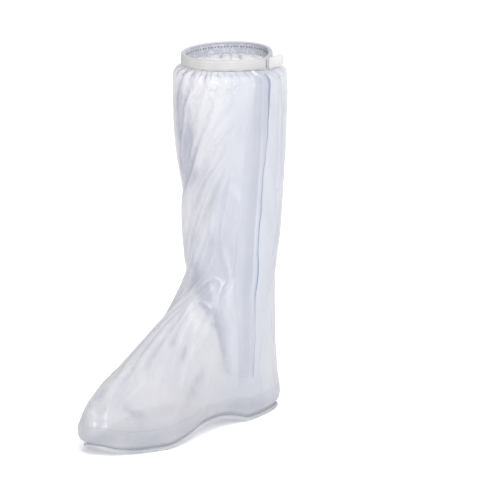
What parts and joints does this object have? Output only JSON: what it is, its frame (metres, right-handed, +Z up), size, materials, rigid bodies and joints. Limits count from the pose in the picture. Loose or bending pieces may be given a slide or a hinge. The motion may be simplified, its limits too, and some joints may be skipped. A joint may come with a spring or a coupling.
{
  "type": "tall shoe cover",
  "caption": "Tall see-through film boot cover for a right shoe, with a thin outsole, an elastic top band, and a side zip under a flap with a closing tab.",
  "frame": {"origin": "on the floor, under the middle of the whole cover", "axes": "+Z up along the leg, the toe points to -Y, and +X is the wearer's left, where the zip is"},
  "size_m": [0.113, 0.2956, 0.384],
  "materials": {
    "film": "soft milky see-through film with fine creases",
    "sole": "thicker milky film, faint gloss",
    "zip": "white tape and teeth",
    "band": "smooth white woven tape",
    "lining": "grey knitted elastic with a row of stitches"
  },
  "bodies": {
    "root": {"film_boot": "film", "outsole": "sole", "side_zip": "zip", "zip_flap": "film", "top_band": "band", "elastic_lining": "lining", "closure_tab": "band"}
  },
  "joints": []
}
